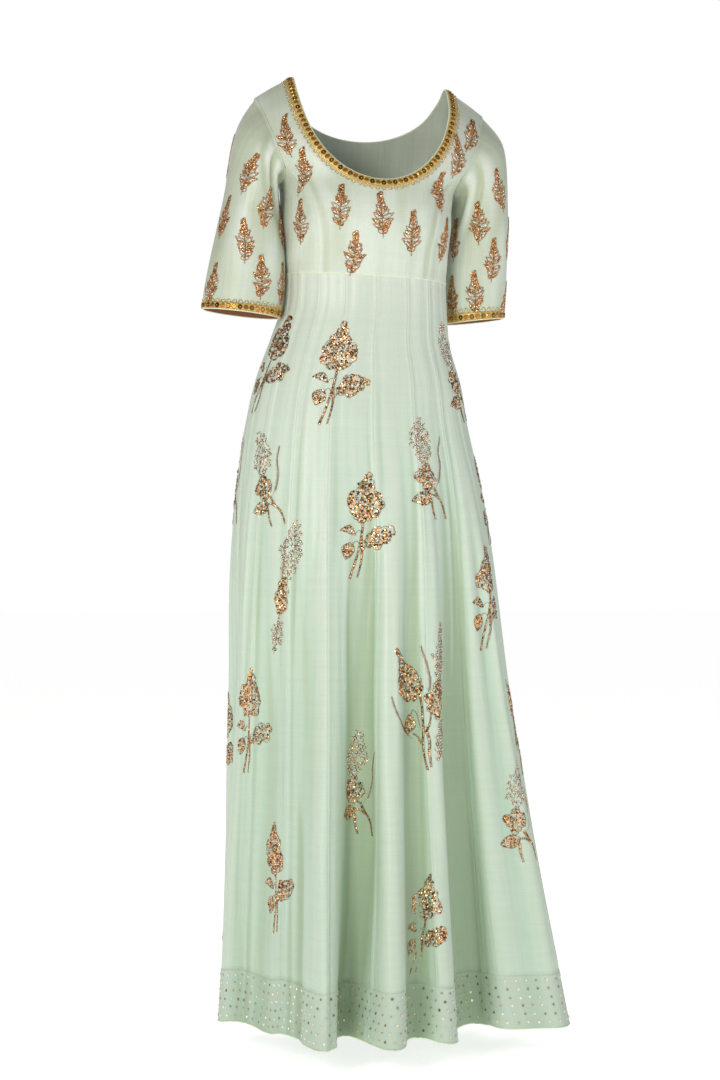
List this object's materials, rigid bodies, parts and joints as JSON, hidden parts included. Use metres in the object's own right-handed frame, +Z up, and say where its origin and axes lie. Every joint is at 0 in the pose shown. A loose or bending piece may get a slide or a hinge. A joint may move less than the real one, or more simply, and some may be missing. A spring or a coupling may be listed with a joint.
{
  "type": "anarkali gown",
  "caption": "Floor-length anarkali gown held in its worn hollow form: scoop neck, elbow sleeves, high waist seam, flared kali skirt with falling folds and a dotted hem band.",
  "frame": {"origin": "midway between the two shoulders, at the height of the shoulder line, where the wearer holds the gown up", "axes": "+Z up, -Y the way the wearer faces, +X towards the wearer's left"},
  "size_m": [0.5975, 0.5289, 1.4667],
  "materials": {
    "silk": "soft sheen, fine crosswise slub",
    "band_cloth": "matte with small foil dots",
    "facing_cloth": "matte",
    "gold_lace": "metallic sequin lace"
  },
  "bodies": {
    "root": {"bodice_back": "silk", "bodice_front": "silk", "bodice_side_left": "silk", "bodice_side_right": "silk", "cuff_facing_left": "facing_cloth", "cuff_facing_right": "facing_cloth", "cuff_trim_left": "gold_lace", "cuff_trim_right": "gold_lace", "hem_band_1": "band_cloth", "hem_band_2": "band_cloth", "hem_band_3": "band_cloth", "hem_band_4": "band_cloth", "hem_band_5": "band_cloth", "hem_band_6": "band_cloth", "kali_01": "silk", "kali_02": "silk", "kali_03": "silk", "kali_04": "silk", "kali_05": "silk", "kali_06": "silk", "kali_07": "silk", "kali_08": "silk", "kali_09": "silk", "kali_10": "silk", "kali_11": "silk", "kali_12": "silk", "kali_13": "silk", "kali_14": "silk", "kali_15": "silk", "kali_16": "silk", "kali_17": "silk", "kali_18": "silk", "neck_trim_back": "gold_lace", "neck_trim_front": "gold_lace", "sleeve_left": "silk", "sleeve_right": "silk"}
  },
  "joints": []
}
